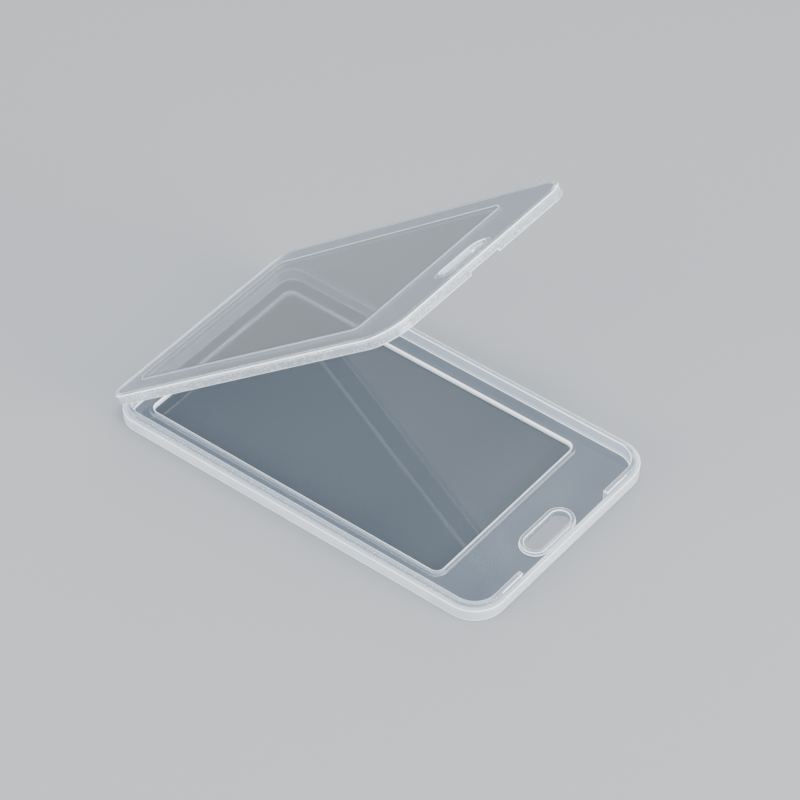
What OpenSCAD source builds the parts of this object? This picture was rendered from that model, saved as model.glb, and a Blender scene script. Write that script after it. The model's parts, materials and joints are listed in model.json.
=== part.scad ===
// Hinged clamshell badge holder, moulded in one piece from translucent polypropylene.
// The base shell lies flat and the cover shell swings up from its hinge end.
// +X runs from the hinge to the lanyard slot, +Z is up, and the shells mirror about Y = 0.
// The origin is the centre of the base shell's underside.

/* [Shells] */
// Length of each shell, from its hinge end to its slot end
shell_length = 116; // [110:0.5:125]
// Width of each shell, across the hinge
shell_width = 70; // [66:0.5:80]
// Height of the base rim above the underside
base_height = 3.6; // [3:0.1:4.4]
// Height of the cover shell, from its lip to its outer face
cover_height = 2.9; // [2.8:0.1:4]
// Thickness of the flat panel around each window
panel_thickness = 1.1; // [1:0.1:1.2]
// Corner radius at the slot end
slot_end_radius = 8.5; // [6:0.1:10]
// Corner radius at the hinge end
hinge_end_radius = 6.8; // [5:0.1:8]
// Radius of the softened edge round each outer face
edge_radius = 0.6; // [0.3:0.1:0.8]

/* [Rims and plug ring] */
// Thickness of the cover's rim
cover_wall = 1.05; // [0.95:0.05:1.4]
// Side clearance between the plug ring and the inside of the cover's rim
plug_clearance = 0.25; // [0.2:0.05:0.3]
// Thickness of the plug ring inside the base's rim
plug_thickness = 1.1; // [0.8:0.1:1.4]
// Height of the plug ring above the top of the base's rim
plug_rise = 1.1; // [1:0.05:1.3]
// Stretch of the slot end that has no plug ring
plug_gap = 34; // [28:1:38]

/* [Snap closure] */
// Radius of the half-round snap beads and snap bumps
snap_radius = 0.2; // [0.15:0.01:0.22]
// Length of each snap bump inside the cover's rim
bump_length = 5.5; // [3:0.5:8]
// Distance of each snap bump's middle from the centreline
bump_offset = 17.3; // [14:0.1:20]
// Length of each snap bead on the plug ring, from the gap outwards
bead_length = 8; // [4:0.5:9]
// Width of the finger notch in the cover's lip
notch_width = 10.4; // [8:0.2:14]
// Depth of the finger notch
notch_depth = 0.7; // [0.4:0.1:1]

/* [Card pocket] */
// Length of the card
card_length = 90; // [85.6, 90]
// Width of the card
card_width = 54; // [54, 55]
// Play left around the card, in each direction
card_play = 0.7; // [0.4:0.1:1]
// Distance from the hinge end to the card pocket
pocket_start = 6.5; // [6:0.1:8]
// Corner radius of the card pocket
pocket_radius = 2; // [1.5:0.1:3]
// Width of the rib round the card pocket
rib_width = 1.3; // [1:0.1:1.6]
// Height of the rib above the panel
rib_height = 0.9; // [0.5:0.1:1]
// Thickness of the clear window, whose outer face is flush with the panel's
window_thickness = 0.9; // [0.6:0.1:0.9]

/* [Lanyard slot] */
// Overall length of the slot
slot_length = 15.4; // [13:0.1:17]
// Width of the slot
slot_width = 5.4; // [4:0.1:6]
// Distance from the slot end of the shell to the middle of the slot
slot_inset = 6.6; // [6.4:0.1:7]
// Width of the raised collar round the slot
collar_width = 1.1; // [0.8:0.1:1.2]
// Height of the collar above the panel
collar_height = 1; // [0.5:0.1:1.2]

/* [Hinge] */
// Angle between the shells as the holder stands part open
opening_angle = 39.5; // [20:0.5:120]
// Length of the living hinge, across the holder
web_length = 54; // [40:1:56]
// Thickness of the living hinge
web_thickness = 0.35; // [0.3:0.05:0.4]
// Distance that the living hinge stands out before it turns
web_reach = 0.3; // [0.25:0.05:0.4]
// Gap left between the two shells when closed
parting_gap = 0.1; // [0.1:0.05:0.15]

/* [Hidden] */
$fn = 64;
cut = 1;
frosted = [0.80, 0.85, 0.89, 0.75];
glossy = [0.62, 0.68, 0.74, 0.45];
edge = [0.92, 0.94, 0.97, 0.90];
base_wall = cover_wall + plug_clearance;
plug_top = base_height + plug_rise;
lip_height = base_height + parting_gap;
closed_height = lip_height + cover_height;
hinge_end = -shell_length / 2;
slot_end = shell_length / 2;
pivot = [hinge_end - web_reach, 0, base_height + parting_gap / 2];
pocket_size = [card_length + card_play, card_width + card_play];
pocket_middle = hinge_end + pocket_start + pocket_size.x / 2;
slot_middle = slot_end - slot_inset;

// A rectangle centred on the origin, with all four corners of one radius.
module rounded_rectangle(size, radius) {
    square([size.x, size.y - 2 * radius], center = true);
    square([size.x - 2 * radius, size.y], center = true);
    for (x = [-1, 1], y = [-1, 1])
        translate([x * (size.x / 2 - radius), y * (size.y / 2 - radius)])
            circle(radius);
}

// The outline of a shell drawn in by the given inset, with its two corner radii.
module shell_outline(inset) {
    hinge_radius = hinge_end_radius - inset;
    slot_radius = slot_end_radius - inset;
    half = [shell_length / 2 - inset, shell_width / 2 - inset];
    translate([-half.x, hinge_radius - half.y])
        square([2 * half.x - slot_radius, 2 * (half.y - hinge_radius)]);
    translate([hinge_radius - half.x, -half.y])
        square([2 * half.x - hinge_radius - slot_radius, 2 * half.y]);
    translate([0, slot_radius - half.y])
        square([half.x, 2 * (half.y - slot_radius)]);
    for (y = [-1, 1]) {
        translate([hinge_radius - half.x, y * (half.y - hinge_radius)])
            circle(hinge_radius);
        translate([half.x - slot_radius, y * (half.y - slot_radius)])
            circle(slot_radius);
    }
}

// Runs a section round the shell's outline. The section's X is the distance
// inwards from the outline, and its Y is the height.
module round_outline() {
    end_width = shell_width - 2 * hinge_end_radius;
    far_width = shell_width - 2 * slot_end_radius;
    side_length = shell_length - hinge_end_radius - slot_end_radius;
    side_middle = (hinge_end_radius - slot_end_radius) / 2;
    translate([hinge_end, 0, 0])
        straight_run(end_width) children();
    translate([slot_end, 0, 0])
        rotate([0, 0, 180])
            straight_run(far_width) children();
    for (side = [-1, 1]) {
        translate([side_middle, side * shell_width / 2, 0])
            rotate([0, 0, -90 * side])
                straight_run(side_length) children();
        translate([hinge_end + hinge_end_radius, side * (shell_width / 2 - hinge_end_radius), 0])
            rotate([0, 0, side > 0 ? 90 : 180])
                corner_run(hinge_end_radius) children();
        translate([slot_end - slot_end_radius, side * (shell_width / 2 - slot_end_radius), 0])
            rotate([0, 0, side > 0 ? 0 : 270])
                corner_run(slot_end_radius) children();
    }
}

// A straight length of a section, centred on Y = 0.
module straight_run(length) {
    rotate([90, 0, 0])
        linear_extrude(length, center = true)
            children();
}

// A quarter turn of a section whose outline has the given radius.
module corner_run(radius) {
    rotate_extrude(angle = 90)
        translate([radius, 0])
            mirror([1, 0])
                children();
}

// The section of a rim, with its outer lower edge softened.
module rim_section(wall, height) {
    difference() {
        square([wall, height]);
        difference() {
            square(edge_radius);
            translate([edge_radius, edge_radius])
                circle(edge_radius);
        }
    }
}

// The through hole of the lanyard slot, or its outline grown by a margin.
module slot_outline(margin = 0) {
    width = slot_width + 2 * margin;
    straight = slot_length - slot_width;
    translate([slot_middle, 0]) {
        square([width, straight], center = true);
        for (y = [-1, 1])
            translate([0, y * straight / 2])
                circle(d = width);
    }
}

// The outline of the card pocket, grown by a margin.
module pocket_outline(margin = 0) {
    translate([pocket_middle, 0])
        rounded_rectangle(pocket_size + 2 * margin * [1, 1], pocket_radius + margin);
}

// The flat panel of a shell, with openings for the window and the lanyard slot.
module panel_plate(inset) {
    linear_extrude(panel_thickness)
        difference() {
            shell_outline(inset);
            pocket_outline();
            slot_outline();
        }
}

// The window that closes the card pocket, thinner than the panel on its inner side.
module window_plate() {
    linear_extrude(window_thickness)
        pocket_outline();
}

// The rib that stands on the panel round the card pocket.
module card_rib() {
    translate([0, 0, panel_thickness])
        linear_extrude(rib_height)
            difference() {
                pocket_outline(rib_width);
                pocket_outline();
            }
}

// The collar that stands on the panel round the lanyard slot.
module slot_collar() {
    translate([0, 0, panel_thickness])
        linear_extrude(collar_height)
            difference() {
                slot_outline(collar_width);
                slot_outline();
            }
}

// A half-round ridge along Y on the plane X = 0, bulging towards +X.
module half_round(length) {
    straight_run(length)
        intersection() {
            circle(snap_radius);
            translate([0, -snap_radius])
                square(2 * snap_radius);
        }
}

// Turns a shell drawn face down into the closed cover, then swings it open.
module as_cover() {
    translate(pivot)
        rotate([0, -opening_angle, 0])
            translate([-pivot.x, 0, closed_height - pivot.z])
                mirror([0, 0, 1])
                    children();
}

module base_panel() {
    color(frosted) panel_plate(base_wall);
}

module base_window() {
    color(glossy) window_plate();
}

module base_rim() {
    color(edge)
        round_outline() rim_section(base_wall, base_height);
}

// The inner ring that plugs into the cover, left out behind the lanyard slot.
module base_plug_ring() {
    color(frosted)
        difference() {
            round_outline()
                translate([base_wall, panel_thickness])
                    square([plug_thickness, plug_top - panel_thickness]);
            translate([slot_end - slot_end_radius, -plug_gap / 2, 0])
                cube([slot_end_radius, plug_gap, plug_top + cut]);
        }
}

module base_snap_beads() {
    color(edge)
        for (side = [-1, 1])
            translate([slot_end - base_wall, side * (plug_gap + bead_length) / 2,
                       plug_top - 1.25 * snap_radius])
                half_round(bead_length);
}

module base_card_rib() {
    color(edge) card_rib();
}

module base_slot_collar() {
    color(edge) slot_collar();
}

// The thin web that joins the two rims and bends as the cover swings.
module living_hinge() {
    turn_radius = web_thickness + parting_gap / 2;
    color(frosted)
        translate(pivot)
            straight_run(web_length) {
                translate([0, -turn_radius])
                    square([web_reach, web_thickness]);
                rotate(opening_angle)
                    translate([0, parting_gap / 2])
                        square([web_reach, web_thickness]);
                intersection() {
                    difference() {
                        circle(turn_radius);
                        circle(parting_gap / 2);
                    }
                    polygon([
                        [0, 0],
                        2 * turn_radius * [cos(90 + opening_angle), sin(90 + opening_angle)],
                        [-3 * turn_radius, 0],
                        [-turn_radius, -3 * turn_radius],
                        [0, -2 * turn_radius]
                    ]);
                }
            }
}

module cover_panel() {
    color(frosted) as_cover() panel_plate(cover_wall);
}

module cover_window() {
    color(glossy) as_cover() window_plate();
}

module cover_rim() {
    color(edge)
        as_cover()
            difference() {
                round_outline() rim_section(cover_wall, cover_height);
                translate([slot_end - slot_inset, -notch_width / 2, cover_height - notch_depth])
                    cube([slot_inset + cut, notch_width, notch_depth + cut]);
            }
}

// The bumps inside the cover's rim, which click under the snap beads.
module cover_snap_bumps() {
    color(edge)
        as_cover()
            for (side = [-1, 1])
                translate([slot_end - cover_wall, side * bump_offset,
                           cover_height - 1.25 * snap_radius])
                    mirror([1, 0, 0])
                        half_round(bump_length);
}

module cover_card_rib() {
    color(edge) as_cover() card_rib();
}

module cover_slot_collar() {
    color(edge) as_cover() slot_collar();
}

base_panel();
base_window();
base_rim();
base_plug_ring();
base_snap_beads();
base_card_rib();
base_slot_collar();
living_hinge();
cover_panel();
cover_window();
cover_rim();
cover_snap_bumps();
cover_card_rib();
cover_slot_collar();
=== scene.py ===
"""Looks of a hinged badge holder moulded in clear polypropylene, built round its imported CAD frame.

The base shell lies on the floor and the cover shell stands open on its living hinge. Each shell is
one continuous moulding, so its refraction has no joints in it, with its card window as a second piece.
"""

import json
import logging
import math
from contextlib import contextmanager
from dataclasses import dataclass, field
from enum import Enum
from typing import Any, Callable, Iterator

import bmesh
import bpy
from mathutils import Euler, Matrix, Vector

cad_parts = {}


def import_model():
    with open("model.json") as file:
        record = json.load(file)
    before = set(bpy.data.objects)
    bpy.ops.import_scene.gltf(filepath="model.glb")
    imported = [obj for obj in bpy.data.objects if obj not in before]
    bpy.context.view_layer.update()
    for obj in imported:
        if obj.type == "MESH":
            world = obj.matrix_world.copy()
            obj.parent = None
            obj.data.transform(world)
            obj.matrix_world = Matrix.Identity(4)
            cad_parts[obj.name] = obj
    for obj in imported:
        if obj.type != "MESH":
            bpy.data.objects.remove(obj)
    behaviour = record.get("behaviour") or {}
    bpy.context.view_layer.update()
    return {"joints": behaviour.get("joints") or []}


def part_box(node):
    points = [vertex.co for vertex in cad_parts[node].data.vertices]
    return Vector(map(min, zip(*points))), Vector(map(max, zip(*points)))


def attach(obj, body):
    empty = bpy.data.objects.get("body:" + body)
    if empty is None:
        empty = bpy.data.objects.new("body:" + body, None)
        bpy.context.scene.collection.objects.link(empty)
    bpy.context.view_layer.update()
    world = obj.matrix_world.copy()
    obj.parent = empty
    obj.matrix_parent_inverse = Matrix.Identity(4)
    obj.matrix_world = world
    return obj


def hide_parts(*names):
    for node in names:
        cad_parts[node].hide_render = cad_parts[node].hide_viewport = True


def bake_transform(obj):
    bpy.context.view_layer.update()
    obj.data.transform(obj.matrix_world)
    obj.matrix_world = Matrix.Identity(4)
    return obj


LOG = logging.getLogger("badge_holder")
MM = 0.001
SNUG = 0.02 * MM  # hairline left between two pieces, so that no two faces lie in one plane
NEAR = 0.01 * MM  # how close a point has to be to a plane to count as on it
OVERSHOOT = 2 * MM  # how far a cutting tool reaches past what it cuts
FINE = 0.04 * MM  # rounding of the edges of the smallest pieces
Point = tuple[float, float, float]
Span = tuple[float, float]

# Facets of the rounded shapes.
CORNER_FACETS = 16
OUTER_EDGE_FACETS = 5
CROWN_FACETS = 3
RIDGE_FACETS = 24
WEB_STEPS = 12
WEB_ROWS = 3
SHARP = math.radians(32)  # edges that turn by more than this are softened
SMOOTH = math.radians(50)  # edges that turn by less than this are shaded smoothly


class Slot(Enum):
    """The record's material slots."""

    FROSTED = "frosted_polypropylene"
    CLEAR = "clear_polypropylene"
    RIM = "rim_polypropylene"
    HINGE = "hinge_polypropylene"


class Cut(Enum):
    """What a tool body does to a workpiece."""

    ADD = "UNION"
    REMOVE = "DIFFERENCE"


class Region(Enum):
    """Parts of a shell that differ in finish, numbered as the shell's material slots."""

    PANEL = 0
    RIM = 1
    # EDGE: rounded edges painted near-white, a painted glow and highlight.
    EDGE = 2
    MILKY = 3
    HAZY = 4


# ---------------------------------------------------------------- finishes


def linear(code: str) -> tuple[float, float, float, float]:
    """Turn an sRGB hex colour to linear light.

    Args:
        code: Six hex digits, such as "C8D2DC".

    Returns:
        The colour as linear red, green, blue and an alpha of 1.
    """
    parts = [int(code[i : i + 2], 16) / 255 for i in (0, 2, 4)]
    red, green, blue = (p / 12.92 if p <= 0.04045 else ((p + 0.055) / 1.055) ** 2.4 for p in parts)
    return red, green, blue, 1.0


def add_node(
    tree: bpy.types.NodeTree,
    kind: str,
    settings: dict[str, Any] | None = None,
    values: dict[str | int, Any] | None = None,
    links: dict[str | int, bpy.types.NodeSocket] | None = None,
) -> bpy.types.Node:
    """Add a shader node with its settings, socket values and incoming links.

    Args:
        tree: Node tree that gets the node.
        kind: Blender's name for the node type.
        settings: Properties to set on the node.
        values: Constants by input socket.
        links: Output sockets to link, by input socket.

    Returns:
        The new node.
    """
    node = tree.nodes.new(kind)
    for name, value in (settings or {}).items():
        setattr(node, name, value)
    for name, value in (values or {}).items():
        node.inputs[name].default_value = value
    for name, source in (links or {}).items():
        tree.links.new(source, node.inputs[name])
    return node


@dataclass(frozen=True)
class Polypropylene:
    """Natural polypropylene, unpigmented, so it is clear with a cool milky haze.

    Attributes:
        name: Name of the material.
        tint: Colour of the light that the haze sends back, as sRGB hex.
        clarity: Share of the light that goes straight through.
        gloss: Lowest and highest roughness over the surface.
        grain_mm: Size of the mould's own texture.
        grain_depth: Strength of that texture as bump.
        flow_mm: Length of the slow swells that the melt leaves as it sets.
        flow_depth: Strength of those swells as bump.
        shade: Light that one face lets through to what lies below, as sRGB hex.
        marks: Colour of the densest haze, as sRGB hex, or none where the haze is even.
    """

    name: str
    tint: str
    clarity: float
    gloss: Span
    grain_mm: float
    grain_depth: float
    flow_mm: float
    flow_depth: float
    shade: str
    marks: str = ""

    IOR = 1.49  # refractive index of polypropylene
    SPECULAR = 0.35  # level of its mirror reflections, kept low so that the haze shows
    GRAIN_SLOPE = 0.12  # height of the grain against its width
    SWELL = 0.4 * MM  # height of the slow swells
    FLOW_STRETCH = (0.45, 1.0, 1.0)  # makes the swells longer along the shell than across it
    FLOW_SPAN = (0.35, 0.65)  # span of the swells over which the roughness changes
    MARK_SPAN = (0.48, 0.64)  # span of the grain over which the haze becomes dense
    RANGE_SOCKETS = ("From Min", "From Max", "To Min", "To Max")
    MIX_FACTOR, MIX_A, MIX_B, MIX_COLOUR = 0, 6, 7, 2  # a colour mix's sockets, which share names

    def material(self) -> bpy.types.Material:
        """Build the material's nodes.

        Returns:
            The new material.
        """
        made = bpy.data.materials.new(self.name)
        made.use_nodes = True
        tree = made.node_tree
        tree.nodes.clear()
        plastic = self.add_plastic(tree)
        # Lamps and scattered light go straight through, so that the floor below the plastic is lit.
        path = add_node(tree, "ShaderNodeLightPath")
        lit = add_node(
            tree,
            "ShaderNodeMath",
            settings={"operation": "MAXIMUM"},
            links={0: path.outputs["Is Shadow Ray"], 1: path.outputs["Is Diffuse Ray"]},
        )
        through = add_node(tree, "ShaderNodeBsdfTransparent", values={"Color": linear(self.shade)})
        mixed = add_node(
            tree,
            "ShaderNodeMixShader",
            links={0: lit.outputs[0], 1: plastic.outputs[0], 2: through.outputs[0]},
        )
        add_node(tree, "ShaderNodeOutputMaterial", links={"Surface": mixed.outputs[0]})
        return made

    def add_plastic(self, tree: bpy.types.NodeTree) -> bpy.types.Node:
        """Add the refracting plastic, with its relief, its gloss and its haze.

        Args:
            tree: Node tree that gets the nodes.

        Returns:
            The shader's node.
        """
        place = add_node(tree, "ShaderNodeTexCoord").outputs["Object"]
        # Mould texture: an even grain, drawn a few times as coarse as the steel leaves it, so that it shows.
        grain = add_node(
            tree,
            "ShaderNodeTexNoise",
            values={"Scale": 1 / (self.grain_mm * MM), "Detail": 3.0, "Roughness": 0.6},
            links={"Vector": place},
        ).outputs["Fac"]
        # Flow of the melt: slow swells, longer along the shell than across it.
        stretched = add_node(
            tree, "ShaderNodeMapping", values={"Scale": self.FLOW_STRETCH}, links={"Vector": place}
        )
        flow = add_node(
            tree,
            "ShaderNodeTexNoise",
            values={"Scale": 1 / (self.flow_mm * MM), "Detail": 2.0, "Roughness": 0.45},
            links={"Vector": stretched.outputs[0]},
        ).outputs["Fac"]
        swell = add_node(
            tree,
            "ShaderNodeBump",
            values={"Strength": self.flow_depth, "Distance": self.SWELL},
            links={"Height": flow},
        )
        relief = add_node(
            tree,
            "ShaderNodeBump",
            values={"Strength": self.grain_depth, "Distance": self.GRAIN_SLOPE * self.grain_mm * MM},
            links={"Height": grain, "Normal": swell.outputs[0]},
        )
        worn = add_node(
            tree,
            "ShaderNodeMapRange",
            values=dict(zip(self.RANGE_SOCKETS, self.FLOW_SPAN + self.gloss)),
            links={"Value": flow},
        )
        plastic = add_node(
            tree,
            "ShaderNodeBsdfPrincipled",
            values={
                "Base Color": linear(self.tint),
                "IOR": self.IOR,
                "Specular IOR Level": self.SPECULAR,
                "Transmission Weight": self.clarity,
            },
            links={"Roughness": worn.outputs[0], "Normal": relief.outputs[0]},
        )
        if self.marks:
            # Haze speckled with denser marks, where the melt met the mould last.
            dense = add_node(
                tree,
                "ShaderNodeMapRange",
                values=dict(zip(self.RANGE_SOCKETS, self.MARK_SPAN + (0.0, 1.0))),
                links={"Value": grain},
            )
            haze = add_node(
                tree,
                "ShaderNodeMix",
                settings={"data_type": "RGBA"},
                values={self.MIX_A: linear(self.tint), self.MIX_B: linear(self.marks)},
                links={self.MIX_FACTOR: dense.outputs[0]},
            )
            tree.links.new(haze.outputs[self.MIX_COLOUR], plastic.inputs["Base Color"])
        return plastic


# Polypropylene moulded against a finely blasted steel face: a satin skin with a milky haze.
SATIN = Polypropylene(
    name="satin_polypropylene",
    tint="97A0AA",
    clarity=0.81,
    gloss=(0.06, 0.11),
    grain_mm=0.35,
    grain_depth=0.012,
    flow_mm=16,
    flow_depth=0.08,
    shade="E4E7EA",
)
# Polypropylene moulded against polished steel: clear and glossy, with faint swells and no grain.
CLEAR = Polypropylene(
    name="polished_polypropylene",
    tint="90989F",
    clarity=0.96,
    gloss=(0.015, 0.04),
    grain_mm=0.5,
    grain_depth=0.0,
    flow_mm=22,
    flow_depth=0.05,
    shade="ECEEF0",
)
# The rims stand in deep grooves of the mould, and are thick enough for their haze to show.
RIM = Polypropylene(
    name="thick_polypropylene",
    tint="C9D4DD",
    clarity=0.78,
    gloss=(0.08, 0.16),
    grain_mm=0.6,
    grain_depth=0.03,
    flow_mm=9,
    flow_depth=0.10,
    shade="DCE1E6",
)
# The cover's skirt fills last, against spark-eroded steel: uneven, with a coarse pale speckle.
SKIRT = Polypropylene(
    name="speckled_polypropylene",
    tint="B6C1CB",
    clarity=0.58,
    gloss=(0.06, 0.16),
    grain_mm=0.6,
    grain_depth=0.80,
    flow_mm=9,
    flow_depth=0.12,
    shade="DCE1E6",
    marks="F4F8FC",
)
# Light that enters a clear sheet leaves it at its edges, so that they glow white. That glow is painted in as
# a near-opaque white finish, a painted highlight on the edges.
EDGE = Polypropylene(
    name="painted_edge_glow_polypropylene",
    tint="FCFDFF",
    clarity=0.08,
    gloss=(0.10, 0.18),
    grain_mm=0.45,
    grain_depth=0.15,
    flow_mm=9,
    flow_depth=0.05,
    shade="E4E8EC",
)
# The hinge end is a solid bar of plastic, which makes it milky. It was moulded as the rims were.
MILKY = Polypropylene(
    name="milky_polypropylene",
    tint="E8EEF3",
    clarity=0.46,
    gloss=(0.12, 0.22),
    grain_mm=0.6,
    grain_depth=0.18,
    flow_mm=9,
    flow_depth=0.08,
    shade="DCE1E6",
)
# The base's outer wall is seen through its height of plastic, so it is hazier than the rim's top.
HAZY = Polypropylene(
    name="hazy_polypropylene",
    tint="EAF0F5",
    clarity=0.48,
    gloss=(0.10, 0.20),
    grain_mm=0.6,
    grain_depth=0.10,
    flow_mm=9,
    flow_depth=0.08,
    shade="DCE1E6",
)
# The web is stretched as it first bends, which whitens polypropylene.
WEB = Polypropylene(
    name="stretched_polypropylene",
    tint="E9EDF1",
    clarity=0.35,
    gloss=(0.30, 0.40),
    grain_mm=0.3,
    grain_depth=0.35,
    flow_mm=3,
    flow_depth=0.20,
    shade="C8CED4",
)

MADE: dict[str, bpy.types.Material] = {}


def material_of(finish: Polypropylene) -> bpy.types.Material:
    """Return a finish's material, made the first time that it is asked for.

    Args:
        finish: The finish.

    Returns:
        Its only material.
    """
    if finish.name not in MADE:
        MADE[finish.name] = finish.material()
    return MADE[finish.name]


# ---------------------------------------------------------------- bench


def deselect() -> None:
    """Deselect every object."""
    bpy.ops.object.select_all(action="DESELECT")


class Workpiece:
    """One mesh object on the bench, shaped with Blender's own operators."""

    def __init__(self, name: str) -> None:
        """Take the object that an operator has just added.

        Args:
            name: Name for the object and its mesh.
        """
        self.obj = bpy.context.object
        self.obj.name = name
        self.obj.data.name = name

    @classmethod
    def plate(cls, name: str, low: Span, high: Span, z: float) -> "Workpiece":
        """Lay down a rectangular sheet.

        Args:
            name: Name of the piece.
            low: Lowest X and Y.
            high: Highest X and Y.
            z: Height of the sheet.

        Returns:
            The new workpiece.
        """
        deselect()
        middle = ((low[0] + high[0]) / 2, (low[1] + high[1]) / 2, z)
        bpy.ops.mesh.primitive_plane_add(size=1, location=middle)
        piece = cls(name)
        piece.obj.scale = (high[0] - low[0], high[1] - low[1], 1)
        piece.settle()
        return piece

    def pick(self) -> None:
        """Make this the only selected object, and the active one."""
        deselect()
        self.obj.select_set(True)
        bpy.context.view_layer.objects.active = self.obj

    def settle(self) -> None:
        """Put the object's place, turn and scale into its mesh."""
        self.pick()
        bpy.ops.object.transform_apply(location=True, rotation=True, scale=True)

    @contextmanager
    def edit(self, mode: str = "FACE") -> Iterator[None]:
        """Work in edit mode, with nothing selected at the start.

        Args:
            mode: VERT, EDGE or FACE.
        """
        self.pick()
        bpy.ops.object.mode_set(mode="EDIT")
        bpy.ops.mesh.select_mode(type=mode)
        bpy.ops.mesh.select_all(action="DESELECT")
        try:
            yield
        finally:
            bpy.ops.object.mode_set(mode="OBJECT")

    def choose(self, kind: str, test: Callable[[Any], bool]) -> None:
        """Select the vertices, edges or faces that pass a test, in edit mode.

        Args:
            kind: verts, edges or faces.
            test: Whether an element is wanted.
        """
        mesh = bmesh.from_edit_mesh(self.obj.data)
        for element in [e for e in getattr(mesh, kind) if test(e)]:
            element.select_set(True)
        mesh.select_flush_mode()
        bmesh.update_edit_mesh(self.obj.data)

    def round_corners(self, radius: float, test: Callable[[Vector], bool]) -> None:
        """Round upright corners of a flat sheet.

        Args:
            radius: Corner radius.
            test: Whether a corner is one to round, by its place.
        """
        with self.edit("VERT"):
            self.choose("verts", lambda v: test(v.co))
            bpy.ops.mesh.bevel(offset=radius, segments=CORNER_FACETS, affect="VERTICES", profile=0.5)

    def extrude(self, step: Point) -> None:
        """Extrude what is selected, in edit mode, by a step in metres."""
        bpy.ops.mesh.extrude_region_move(TRANSFORM_OT_translate={"value": step})

    def inset(self, thickness: float) -> None:
        """Inset the selected face by an even thickness, in edit mode."""
        bpy.ops.mesh.inset(thickness=thickness, use_even_offset=True)

    def thicken(self, depth: float) -> None:
        """Raise a flat sheet into a closed slab.

        Args:
            depth: Thickness of the slab.
        """
        with self.edit():
            bpy.ops.mesh.select_all(action="SELECT")
            self.extrude((0, 0, depth))
        self.face_out()

    def face_out(self) -> None:
        """Merge doubles and turn every face outwards."""
        with self.edit():
            bpy.ops.mesh.select_all(action="SELECT")
            bpy.ops.mesh.remove_doubles(threshold=0.001 * MM)
            bpy.ops.mesh.normals_make_consistent(inside=False)

    def modify(self, kind: str, **settings: Any) -> None:
        """Add a modifier and apply it.

        Args:
            kind: Blender's name for the modifier type.
            **settings: Properties to set on the modifier.
        """
        self.pick()
        bpy.ops.object.modifier_add(type=kind)
        modifier = self.obj.modifiers[-1]
        for name, value in settings.items():
            setattr(modifier, name, value)
        bpy.ops.object.modifier_apply(modifier=modifier.name)

    def cut(self, how: Cut, tool: "Workpiece") -> None:
        """Add a tool body to this piece or remove it, and throw the tool away.

        Args:
            how: Whether the tool is added or removed.
            tool: The closed body to use.
        """
        self.modify("BOOLEAN", operation=how.value, object=tool.obj, solver="EXACT")
        bpy.data.objects.remove(tool.obj)

    def soften(self, radius: float, region: Region | None = None) -> None:
        """Round every sharp edge a little, as a mould does, and shade the result smoothly.

        Args:
            radius: Width of the rounding.
            region: Finish of the rounded edges, or None for that of the faces beside them.
        """
        self.modify(
            "BEVEL",
            width=radius,
            segments=2,
            limit_method="ANGLE",
            angle_limit=SHARP,
            miter_outer="MITER_ARC",
            use_clamp_overlap=False,
            material=-1 if region is None else region.value,
        )
        self.pick()
        bpy.ops.object.shade_smooth_by_angle(angle=SMOOTH)
        self.modify("WEIGHTED_NORMAL", keep_sharp=True, weight=100)

    def dress(self, *finishes: Polypropylene) -> None:
        """Give the piece its finishes.

        Args:
            *finishes: The finishes, in the order of the material slots.
        """
        self.obj.data.materials.clear()
        for finish in finishes:
            self.obj.data.materials.append(material_of(finish))

    def place(self, matrix: Matrix) -> None:
        """Move the finished mesh by a matrix, leaving the object at the origin."""
        self.obj.matrix_world = matrix
        self.settle()

    def copy(self) -> "Workpiece":
        """Return a copy of the piece, with its own mesh."""
        self.pick()
        bpy.ops.object.duplicate(linked=False)
        return Workpiece(self.obj.name)

    def join(self, other: "Workpiece") -> None:
        """Take another workpiece into this one.

        Args:
            other: The piece to take in.
        """
        self.pick()
        other.obj.select_set(True)
        bpy.ops.object.join()

    def hand_over(self, body: str, slot: Slot, nodes: tuple[str, ...]) -> bpy.types.Object:
        """Attach the piece to the body that it rides on, and hide the CAD nodes that it stands for.

        Args:
            body: CAD body that the piece moves with.
            slot: The record's material slot for the piece; not used.
            nodes: CAD nodes that it replaces.

        Returns:
            The piece's object.
        """
        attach(self.obj, body)
        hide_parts(*nodes)
        return self.obj


def rounded_block(name: str, low: Span, high: Span, radius: float, bottom: float, top: float) -> Workpiece:
    """Make an upright block with four rounded corners, or with square ones.

    Args:
        name: Name of the block.
        low: Lowest X and Y.
        high: Highest X and Y.
        radius: Corner radius, or 0 for square corners.
        bottom: Height of its underside.
        top: Height of its top.

    Returns:
        The closed block.
    """
    block = Workpiece.plate(name, low, high, bottom)
    if radius > 0:
        block.round_corners(radius, lambda co: True)
    block.thicken(top - bottom)
    return block


# ---------------------------------------------------------------- sizes


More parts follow.
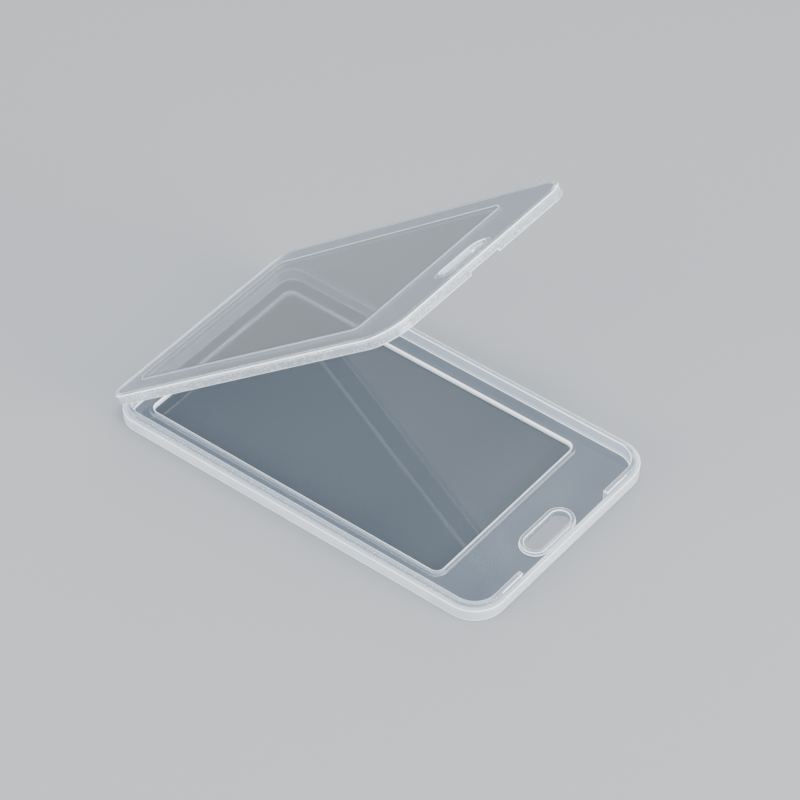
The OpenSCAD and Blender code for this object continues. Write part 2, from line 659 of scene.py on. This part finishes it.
@dataclass(frozen=True)
class Moulding:
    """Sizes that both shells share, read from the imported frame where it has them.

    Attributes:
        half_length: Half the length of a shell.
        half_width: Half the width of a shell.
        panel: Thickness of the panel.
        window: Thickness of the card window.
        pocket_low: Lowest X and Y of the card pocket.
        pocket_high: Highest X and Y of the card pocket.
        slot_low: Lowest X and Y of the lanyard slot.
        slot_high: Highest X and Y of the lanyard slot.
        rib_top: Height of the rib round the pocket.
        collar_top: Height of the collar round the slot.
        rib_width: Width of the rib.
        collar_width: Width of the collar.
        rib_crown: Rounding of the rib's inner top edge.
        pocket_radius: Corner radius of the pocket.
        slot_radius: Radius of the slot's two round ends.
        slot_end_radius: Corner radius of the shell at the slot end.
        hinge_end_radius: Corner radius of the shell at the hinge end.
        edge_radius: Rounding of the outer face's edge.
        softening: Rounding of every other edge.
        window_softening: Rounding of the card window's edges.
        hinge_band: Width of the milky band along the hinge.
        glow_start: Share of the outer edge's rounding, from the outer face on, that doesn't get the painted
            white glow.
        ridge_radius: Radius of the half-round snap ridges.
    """

    half_length: float
    half_width: float
    panel: float
    window: float
    pocket_low: Span
    pocket_high: Span
    slot_low: Span
    slot_high: Span
    rib_top: float
    collar_top: float
    rib_width: float = 1.3 * MM
    collar_width: float = 1.1 * MM
    rib_crown: float = 0.45 * MM
    pocket_radius: float = 2.0 * MM
    slot_radius: float = 2.7 * MM
    slot_end_radius: float = 8.5 * MM
    hinge_end_radius: float = 6.8 * MM
    edge_radius: float = 0.6 * MM
    softening: float = 0.18 * MM
    window_softening: float = 0.05 * MM
    hinge_band: float = 2.4 * MM
    glow_start: float = 0.25
    ridge_radius: float = 0.2 * MM

    @property
    def ridge_drop(self) -> float:
        """How far a snap ridge's middle sits below the top of its wall."""
        return 1.25 * self.ridge_radius

    @classmethod
    def from_frame(cls) -> "Moulding":
        """Read the sizes from the base's CAD nodes.

        Returns:
            The sizes of the moulding.
        """
        rim_low, rim_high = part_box("base_rim")
        window_low, window_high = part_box("base_window")
        collar_low, collar_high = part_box("base_slot_collar")
        return cls(
            half_length=(rim_high.x - rim_low.x) / 2,
            half_width=(rim_high.y - rim_low.y) / 2,
            panel=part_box("base_panel")[1].z,
            window=window_high.z,
            pocket_low=(window_low.x, window_low.y),
            pocket_high=(window_high.x, window_high.y),
            slot_low=(collar_low.x + cls.collar_width, collar_low.y + cls.collar_width),
            slot_high=(collar_high.x - cls.collar_width, collar_high.y - cls.collar_width),
            rib_top=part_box("base_card_rib")[1].z,
            collar_top=collar_high.z,
        )


@dataclass
class HingeLine:
    """The line that the cover turns about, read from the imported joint.

    Attributes:
        pivot: A point on the line.
        opening: Angle between the shells at rest, in radians.
    """

    pivot: Vector
    opening: float

    @classmethod
    def from_frame(cls, joints: list[dict[str, Any]]) -> "HingeLine":
        """Read the hinge line from the frame's only joint.

        Args:
            joints: The frame's joints.

        Returns:
            The hinge line.
        """
        joint = joints[0]
        return cls(Vector(joint["pos_m"]), -math.radians(joint["range_deg"][0]))

    def swing(self, closed_height: float) -> Matrix:
        """Find where a cover that is built face down stands at rest.

        Args:
            closed_height: Height of the closed holder.

        Returns:
            The matrix from the bench to the open cover.
        """
        over = Matrix.Translation((0, 0, closed_height)) @ Matrix.Rotation(math.pi, 4, "X")
        turn = Matrix.Rotation(-self.opening, 4, "Y")
        return Matrix.Translation(self.pivot) @ turn @ Matrix.Translation(-self.pivot) @ over


# ---------------------------------------------------------------- shells


@dataclass
class Shell:
    """What both shells have: an outline, a rim, a panel, a ribbed card pocket and a lanyard slot.

    Attributes:
        prefix: Start of its pieces' names.
        sizes: Sizes that both shells share.
        wall: Thickness of its rim.
        height: Height of its rim above the outer face.
        wall_finish: Finish of its outer wall.
    """

    prefix: str
    sizes: Moulding
    wall: float
    height: float
    wall_finish: Polypropylene = HAZY

    def outline(self) -> Workpiece:
        """Lay down the shell's outline as a flat sheet.

        Returns:
            The sheet, with its two kinds of corner rounded.
        """
        s = self.sizes
        low, high = (-s.half_length, -s.half_width), (s.half_length, s.half_width)
        sheet = Workpiece.plate(f"{self.prefix}_shell", low, high, 0)
        end, side = s.half_length - NEAR, s.half_width - NEAR
        sheet.round_corners(s.slot_end_radius, lambda co: co.x > end and abs(co.y) > side)
        sheet.round_corners(s.hinge_end_radius, lambda co: co.x < -end and abs(co.y) > side)
        return sheet

    def soften_outer_edge(self, shell: Workpiece) -> None:
        """Round the outer face's edge, and part the faces where the finish changes.

        Args:
            shell: The shell, whose outer face lies on the bench.
        """
        radius = self.sizes.edge_radius
        with shell.edit("EDGE"):
            shell.choose("edges", lambda e: all(abs(v.co.z) < NEAR for v in e.verts))
            bpy.ops.mesh.bevel(offset=radius, segments=OUTER_EDGE_FACETS, affect="EDGES", profile=0.5)
        with shell.edit("FACE"):
            shell.choose("faces", lambda f: all(abs(v.co.z) < NEAR for v in f.verts))
            shell.inset(self.wall - radius)
        with shell.edit("EDGE"):
            bpy.ops.mesh.select_all(action="SELECT")
            bpy.ops.mesh.bisect(plane_co=(self.milky_end(), 0, 0), plane_no=(1, 0, 0))

    def milky_end(self) -> float:
        """Return the X where the milky band along the hinge ends."""
        return self.sizes.hinge_band - self.sizes.half_length

    def add_rib_and_collar(self, shell: Workpiece) -> None:
        """Raise the card rib and the slot collar, and open the pocket and the slot through the panel.

        Args:
            shell: The shell to shape.
        """
        s = self.sizes
        foot = s.panel / 2
        for name, low, high, radius, margin, top in (
            ("rib", s.pocket_low, s.pocket_high, s.pocket_radius, s.rib_width, s.rib_top),
            ("collar", s.slot_low, s.slot_high, s.slot_radius, s.collar_width, s.collar_top),
        ):
            grown = [(low[0] - margin, low[1] - margin), (high[0] + margin, high[1] + margin)]
            shell.cut(Cut.ADD, rounded_block(name, *grown, radius + margin, foot, top))
            shell.cut(Cut.REMOVE, rounded_block(name, low, high, radius, -OVERSHOOT, top + OVERSHOOT))

    def crown_rib(self, shell: Workpiece) -> None:
        """Round the card rib's inner top edge more than the rest, so that it leads the card in.

        Args:
            shell: The shell to shape.
        """
        s = self.sizes
        with shell.edit("EDGE"):
            shell.choose(
                "edges",
                lambda e: all(abs(v.co.z - s.rib_top) < NEAR and self.in_pocket(v.co, NEAR) for v in e.verts),
            )
            # The rounding takes the edge finish: painted white, a painted glow along the rib's crown.
            bpy.ops.mesh.bevel(
                offset=s.rib_crown,
                segments=CROWN_FACETS,
                affect="EDGES",
                profile=0.5,
                material=Region.EDGE.value,
            )

    def in_pocket(self, point: Vector, margin: float) -> bool:
        """Tell whether a point lies within the card pocket, grown by a margin."""
        s = self.sizes
        return (
            s.pocket_low[0] - margin < point.x < s.pocket_high[0] + margin
            and s.pocket_low[1] - margin < point.y < s.pocket_high[1] + margin
        )

    def by_slot(self, point: Vector) -> bool:
        """Tell whether a point lies on the collar or on the wall of the lanyard slot.

        Args:
            point: A point of the shell.

        Returns:
            Whether it does.
        """
        s = self.sizes
        margin = s.collar_width + NEAR
        return (
            s.slot_low[0] - margin < point.x < s.slot_high[0] + margin
            and s.slot_low[1] - margin < point.y < s.slot_high[1] + margin
        )

    def finish_by_region(self, shell: Workpiece, rim_depth: float) -> None:
        """Dress the shell: its rim, its outer walls, its pocket wall and its panel each in their finish, and
        the glowing part of the outer edge in the painted white glow.

        Args:
            shell: The shell, which lies on its outer face.
            rim_depth: How far the rim's finish reaches in from the outline.
        """
        shell.dress(SATIN, RIM, EDGE, MILKY, self.wall_finish)
        for face in shell.obj.data.polygons:
            corners = [shell.obj.data.vertices[i].co for i in face.vertices]
            region = Region.PANEL
            if self.is_milky(corners):
                region = Region.MILKY
            # The glowing part of the outer edge's rounding is painted white, a painted glow.
            elif self.on_outer_edge(corners):
                region = Region.EDGE
            elif self.is_hazy(corners):
                region = Region.HAZY
            elif all(self.inset_of(c) < rim_depth + NEAR for c in corners):
                region = Region.RIM
            elif all(self.in_pocket(c, NEAR) for c in corners):
                region = Region.MILKY
            elif all(self.by_slot(c) for c in corners):
                region = Region.RIM
            face.material_index = region.value

    def is_milky(self, corners: list[Vector]) -> bool:
        """Tell whether a face belongs to the bar of plastic at the hinge end or to the rim's lip."""
        at_hinge = all(c.x < self.milky_end() + NEAR for c in corners)
        return at_hinge or all(abs(c.z - self.height) < NEAR for c in corners)

    def is_hazy(self, corners: list[Vector]) -> bool:
        """Tell whether a face is on the outer wall, or in the ring of the outer face by the rim."""
        ring = all(c.z < NEAR and self.inset_of(c) < self.wall + NEAR for c in corners)
        return ring or all(self.inset_of(c) < NEAR for c in corners)

    def on_outer_edge(self, corners: list[Vector]) -> bool:
        """Tell whether a face is in the part of the outer edge's rounding that is painted white as a glow.

        Args:
            corners: The face's corners.

        Returns:
            Whether it is.
        """
        radius = self.sizes.edge_radius
        start = self.sizes.glow_start * radius
        return all(start < c.z < radius + NEAR and self.inset_of(c) < radius for c in corners)

    def quiet_edges(self, shell: Workpiece) -> None:
        """Give the rounded edges that don't catch the light the finish of the faces beside them, so that only
        the edges that catch it keep the painted white glow.

        Args:
            shell: The shell, with its edges softened.
        """
        s = self.sizes
        reach = 2 * s.softening
        for face in shell.obj.data.polygons:
            if face.material_index != Region.EDGE.value:
                continue
            middle = face.center
            if abs(self.past_pocket(middle) - s.rib_width) < reach:
                face.material_index = Region.PANEL.value
            elif abs(self.inset_of(middle) - self.wall) < reach and middle.z > s.panel + reach:
                face.material_index = Region.RIM.value

    def past_pocket(self, point: Vector) -> float:
        """Measure how far a point lies outside the card pocket's rounded outline.

        Args:
            point: A point of the shell.

        Returns:
            The distance out from the pocket's wall.
        """
        s = self.sizes
        radius = s.pocket_radius
        over = [
            max(low - value, value - high) + radius
            for low, value, high in zip(s.pocket_low, point.xy, s.pocket_high)
        ]
        if min(over) > 0:
            return math.hypot(*over) - radius
        return max(over) - radius

    def inset_of(self, point: Vector) -> float:
        """Measure how far a point lies inside the shell's outline.

        Args:
            point: A point of the shell.

        Returns:
            The distance in from the outline.
        """
        s = self.sizes
        radius = s.slot_end_radius if point.x > 0 else s.hinge_end_radius
        along = abs(point.x) - (s.half_length - radius)
        across = abs(point.y) - (s.half_width - radius)
        if along > 0 and across > 0:
            return radius - math.hypot(along, across)
        return min(s.half_length - abs(point.x), s.half_width - abs(point.y))

    def detail(self, shell: Workpiece, rim_depth: float) -> None:
        """Give a roughed-out shell its rib, its collar, its finishes and its soft edges.

        Args:
            shell: The shell, which lies on its outer face.
            rim_depth: How far the rim's finish reaches in from the outline.
        """
        self.add_rib_and_collar(shell)
        self.finish_by_region(shell, rim_depth)
        self.crown_rib(shell)
        # Every softened edge is first painted with the white edge glow. quiet_edges takes it off again where
        # the edges shouldn't glow.
        shell.soften(self.sizes.softening, region=Region.EDGE)
        self.quiet_edges(shell)

    def build_window(self) -> Workpiece:
        """Make the clear window that closes the card pocket.

        Returns:
            The window, which lies on its outer face.
        """
        s = self.sizes
        low = (s.pocket_low[0] + SNUG, s.pocket_low[1] + SNUG)
        high = (s.pocket_high[0] - SNUG, s.pocket_high[1] - SNUG)
        window = rounded_block(f"{self.prefix}_card_window", low, high, s.pocket_radius - SNUG, 0, s.window)
        window.soften(s.window_softening)
        window.dress(CLEAR)
        return window

    def snap_ridges(
        self, name: str, x: float, facing: int, middle: float, length: float, z: float
    ) -> Workpiece:
        """Make a pair of half-round snap ridges on an upright wall.

        Args:
            name: Name of the piece.
            x: Where the wall stands.
            facing: 1 if the ridges bulge towards +X, and -1 if towards -X.
            middle: Distance of each ridge's middle from the centreline.
            length: Length of each ridge.
            z: Height of the ridges.

        Returns:
            Both ridges as one piece.
        """
        radius = self.sizes.ridge_radius
        deselect()
        bpy.ops.mesh.primitive_cylinder_add(
            vertices=RIDGE_FACETS,
            radius=radius,
            depth=length,
            location=(x, -middle, z),
            rotation=(math.pi / 2, 0, 0),
        )
        ridge = Workpiece(name)
        ridge.settle()
        # The half of the rod that would sit in the wall is cut away, up to a hairline off the wall.
        near, far = sorted((x + facing * SNUG, x - facing * 2 * radius))
        low, high = (near, -middle - length), (far, length - middle)
        ridge.cut(Cut.REMOVE, rounded_block("flank", low, high, 0, z - 2 * radius, z + 2 * radius))
        ridge.soften(FINE)
        twin = ridge.copy()
        twin.place(Matrix.Translation((0, 2 * middle, 0)))
        ridge.join(twin)
        # The ridges are painted in the white edge glow, a painted highlight.
        ridge.dress(EDGE)
        return ridge


@dataclass
class BaseShell(Shell):
    """The shell that lies on the floor, with its plug ring and snap beads.

    Attributes:
        plug_top: Height of the plug ring.
        plug_thickness: Thickness of the plug ring.
        plug_gap: Stretch of the slot end that has no plug ring.
        bead_length: Length of each snap bead.
    """

    plug_top: float = 0.0
    plug_thickness: float = 1.1 * MM
    plug_gap: float = 34 * MM
    bead_length: float = 8 * MM

    @classmethod
    def from_frame(cls, sizes: Moulding) -> "BaseShell":
        """Read the base's own sizes from its CAD nodes.

        Args:
            sizes: Sizes that both shells share.

        Returns:
            The base shell.
        """
        rim_low, rim_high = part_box("base_rim")
        plug_low, plug_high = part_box("base_plug_ring")
        wall = plug_low.x - rim_low.x
        return cls("base", sizes, wall=wall, height=rim_high.z, plug_top=plug_high.z)

    def build(self) -> list[bpy.types.Object]:
        """Build and dress the base's pieces.

        Returns:
            The shell, its window and its snap beads.
        """
        s = self.sizes
        shell = self.outline()
        with shell.edit():
            bpy.ops.mesh.select_all(action="SELECT")
            shell.extrude((0, 0, self.height))
            shell.inset(self.wall)
            shell.extrude((0, 0, self.plug_top - self.height))
            shell.inset(self.plug_thickness)
            shell.extrude((0, 0, s.panel - self.plug_top))
        shell.face_out()
        self.soften_outer_edge(shell)
        inside = s.half_length - self.wall
        gap = rounded_block(
            "plug_gap",
            (s.half_length - s.slot_end_radius, -self.plug_gap / 2),
            (inside, self.plug_gap / 2),
            0,
            s.panel,
            self.plug_top + OVERSHOOT,
        )
        shell.cut(Cut.REMOVE, gap)
        self.detail(shell, self.wall + self.plug_thickness)
        window = self.build_window()
        beads = self.snap_ridges(
            "base_beads",
            x=inside,
            facing=1,
            middle=(self.plug_gap + self.bead_length) / 2,
            length=self.bead_length,
            z=self.plug_top - s.ridge_drop,
        )
        nodes = ("base_panel", "base_rim", "base_plug_ring", "base_card_rib", "base_slot_collar")
        return [
            shell.hand_over("base", Slot.FROSTED, nodes),
            window.hand_over("base", Slot.CLEAR, ("base_window",)),
            beads.hand_over("base", Slot.RIM, ("base_snap_beads",)),
        ]


@dataclass
class CoverShell(Shell):
    """The shell that swings, with its finger notch and snap bumps.

    Attributes:
        hinge: The line that it turns about.
        closed_height: Height of the closed holder.
        notch_width: Width of the finger notch.
        notch_depth: Depth of the finger notch.
        notch_reach: How far in from the slot end the finger notch is cut.
        bump_length: Length of each snap bump.
        bump_offset: Distance of each snap bump's middle from the centreline.
    """

    hinge: HingeLine = field(default_factory=lambda: HingeLine(Vector(), 0.0))
    closed_height: float = 0.0
    notch_width: float = 10.4 * MM
    notch_depth: float = 0.7 * MM
    notch_reach: float = 3 * MM
    bump_length: float = 5.5 * MM
    bump_offset: float = 17.3 * MM

    RIM_HEIGHT = 2.9 * MM
    WALL_LESS = 0.25 * MM  # how much thinner its rim is than the base's

    @classmethod
    def from_frame(cls, sizes: Moulding, base: BaseShell, hinge: HingeLine) -> "CoverShell":
        """Work out the cover's own sizes from the base, which it closes on.

        Args:
            sizes: Sizes that both shells share.
            base: The base shell.
            hinge: The line that the cover turns about.

        Returns:
            The cover shell.
        """
        lip = 2 * hinge.pivot.z - base.height  # the hinge line lies midway between the two rims
        return cls(
            "cover",
            sizes,
            wall=base.wall - cls.WALL_LESS,
            height=cls.RIM_HEIGHT,
            wall_finish=SKIRT,
            hinge=hinge,
            closed_height=lip + cls.RIM_HEIGHT,
        )

    def build(self) -> list[bpy.types.Object]:
        """Build and dress the cover's pieces.

        Returns:
            The shell, its window and its snap bumps.
        """
        s = self.sizes
        shell = self.outline()
        with shell.edit():
            bpy.ops.mesh.select_all(action="SELECT")
            shell.extrude((0, 0, self.height))
            shell.inset(self.wall)
            shell.extrude((0, 0, s.panel - self.height))
        shell.face_out()
        self.soften_outer_edge(shell)
        notch = rounded_block(
            "notch",
            (s.half_length - self.notch_reach, -self.notch_width / 2),
            (s.half_length + OVERSHOOT, self.notch_width / 2),
            0,
            self.height - self.notch_depth,
            self.height + OVERSHOOT,
        )
        shell.cut(Cut.REMOVE, notch)
        self.detail(shell, self.wall)
        window = self.build_window()
        bumps = self.snap_ridges(
            "cover_bumps",
            x=s.half_length - self.wall,
            facing=-1,
            middle=self.bump_offset,
            length=self.bump_length,
            z=self.height - s.ridge_drop,
        )
        swing = self.hinge.swing(self.closed_height)
        for piece in (shell, window, bumps):
            piece.place(swing)
        nodes = ("cover_panel", "cover_rim", "cover_card_rib", "cover_slot_collar")
        return [
            shell.hand_over("cover", Slot.FROSTED, nodes),
            window.hand_over("cover", Slot.CLEAR, ("cover_window",)),
            bumps.hand_over("cover", Slot.RIM, ("cover_snap_bumps",)),
        ]


@dataclass
class LivingHinge:
    """The thin web that joins the two rims, built bent round the hinge line at the cover's rest opening.

    Attributes:
        hinge: The line that it bends about.
        rim_end: X of the base rim's outer face.
        rim_top: Height of the base rim.
        length: Length of the web across the holder.
        thickness: Thickness of the web.
        bend_half: Half the distance across the hinge line over which the web passes from body to body; not
            used.
    """

    hinge: HingeLine
    rim_end: float
    rim_top: float
    length: float
    thickness: float = 0.35 * MM
    bend_half: float = 0.25 * MM

    @classmethod
    def from_frame(cls, hinge: HingeLine) -> "LivingHinge":
        """Read the web's length and place from the CAD nodes.

        Args:
            hinge: The line that the web bends about.

        Returns:
            The living hinge.
        """
        low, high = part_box("living_hinge")
        rim_low, rim_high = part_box("base_rim")
        return cls(hinge, rim_low.x, rim_high.z, high.y - low.y)

    def build(self) -> bpy.types.Object:
        """Build the web: a tab off the base's rim, a turn about the hinge line, and a tab to the cover.

        Returns:
            The web, bent between the two bodies as they stand at rest.
        """
        pivot, opening = self.hinge.pivot, self.hinge.opening
        reach = self.rim_end - pivot.x - SNUG / 2
        deselect()
        bpy.ops.mesh.primitive_plane_add(
            size=1,
            location=(self.rim_end - SNUG / 2, 0, self.rim_top - self.thickness / 2),
            rotation=(0, math.pi / 2, 0),
        )
        web = Workpiece("hinge_web")
        web.obj.scale = (self.thickness, self.length, 1)
        web.settle()
        turn = math.pi - opening
        with web.edit():
            bpy.ops.mesh.select_all(action="SELECT")
            bpy.ops.mesh.subdivide(number_cuts=WEB_ROWS)
            web.extrude((-reach, 0, 0))
            bpy.ops.mesh.spin(steps=WEB_STEPS, angle=turn, center=pivot, axis=(0, -1, 0), dupli=False)
            web.extrude((reach * math.cos(opening), 0, reach * math.sin(opening)))
        web.face_out()
        web.soften(FINE)
        web.dress(WEB)
        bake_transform(web.obj)
        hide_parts("living_hinge")
        return web.obj


# ---------------------------------------------------------------- studio


@dataclass(frozen=True)
class Softbox:
    """A rectangular soft light that faces the holder.

    Attributes:
        name: Name of the light.
        at: Where it hangs.
        width: Width of its face.
        depth: Depth of its face.
        watts: Its power.
    """

    name: str
    at: Point
    width: float
    depth: float
    watts: float

    def hang(self) -> None:
        """Add the light to the scene."""
        lamp = bpy.data.lights.new(self.name, "AREA")
        lamp.shape, lamp.size, lamp.size_y, lamp.energy = "RECTANGLE", self.width, self.depth, self.watts
        box = bpy.data.objects.new(self.name, lamp)
        box.location = self.at
        box.rotation_euler = (-Vector(self.at)).to_track_quat("-Z", "Y").to_euler()
        bpy.context.scene.collection.objects.link(box)


SOFTBOXES = (
    Softbox("back_softbox", (-0.55, 0.60, 0.75), width=1.60, depth=1.40, watts=5.0),
    Softbox("front_softbox", (-0.45, -0.85, 0.28), width=0.90, depth=0.45, watts=20.0),
    Softbox("right_softbox", (0.95, 0.10, 0.28), width=0.70, depth=0.45, watts=26.0),
    Softbox("top_softbox", (0.05, -0.05, 0.90), width=0.22, depth=0.22, watts=7.0),
    Softbox("back_strip", (-0.35, 0.90, 0.22), width=0.90, depth=0.12, watts=5.0),
)


@dataclass
class Studio:
    """A pale floor, large soft lights and the camera.

    Attributes:
        floor_half: Half the side of the floor.
        floor_drop: How far the floor lies below the base.
        floor_colour: Colour of the floor, as sRGB hex.
        room_colour: Colour of the dim room round the softboxes, as sRGB hex.
        room_light: Brightness of that room.
        camera_at: Where the camera stands.
        camera_turn: Its turn about X, Y and Z, in degrees.
        lens: Its focal length in millimetres.
        sensor: Width of its sensor in millimetres.
    """

    floor_half: float = 3.0
    floor_drop: float = 0.01 * MM
    floor_colour: str = "999CA0"
    room_colour: str = "C4C8CE"
    room_light: float = 0.60
    camera_at: Point = (0.407481, -0.505504, 0.645306)
    camera_turn: Point = (45.8449, 0.103, 38.3547)
    lens: float = 165.957
    sensor: float = 36

    def build(self) -> None:
        """Set up the floor, the lights and the camera."""
        self.lay_floor()
        self.light_room()
        for softbox in SOFTBOXES:
            softbox.hang()
        self.place_camera()

    def lay_floor(self) -> None:
        """Lay a plain floor of pale matt paper just under the base."""
        half = self.floor_half
        floor = Workpiece.plate("floor", (-half, -half), (half, half), -self.floor_drop)
        paper = bpy.data.materials.new("studio_paper")
        paper.use_nodes = True
        shader = paper.node_tree.nodes["Principled BSDF"]
        shader.inputs["Base Color"].default_value = linear(self.floor_colour)
        shader.inputs["Roughness"].default_value = 0.9
        shader.inputs["Specular IOR Level"].default_value = 0.1
        floor.obj.data.materials.append(paper)

    def light_room(self) -> None:
        """Give the room round the softboxes an even dim light."""
        room = bpy.data.worlds.new("room")
        bpy.context.scene.world = room
        room.use_nodes = True
        backdrop = room.node_tree.nodes["Background"]
        backdrop.inputs["Color"].default_value = linear(self.room_colour)
        backdrop.inputs["Strength"].default_value = self.room_light

    def place_camera(self) -> None:
        """Place the camera, which looks down on the holder from beyond its slot end."""
        lens = bpy.data.cameras.new("camera")
        lens.lens, lens.sensor_width = self.lens, self.sensor
        lens.clip_start, lens.clip_end = 0.01, 20
        camera = bpy.data.objects.new("camera", lens)
        camera.location = self.camera_at
        camera.rotation_euler = Euler([math.radians(a) for a in self.camera_turn])
        bpy.context.scene.collection.objects.link(camera)
        bpy.context.scene.camera = camera


# ---------------------------------------------------------------- main


def main() -> None:
    """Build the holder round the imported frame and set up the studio."""
    logging.basicConfig(level=logging.INFO, format="%(name)s: %(message)s")
    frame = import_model()
    sizes = Moulding.from_frame()
    hinge = HingeLine.from_frame(frame["joints"])
    base = BaseShell.from_frame(sizes)
    cover = CoverShell.from_frame(sizes, base, hinge)
    pieces = [*base.build(), *cover.build(), LivingHinge.from_frame(hinge).build()]
    for piece in pieces:
        LOG.info("%s: %d faces", piece.name, len(piece.data.polygons))
    Studio().build()


if __name__ == "__main__":
    main()
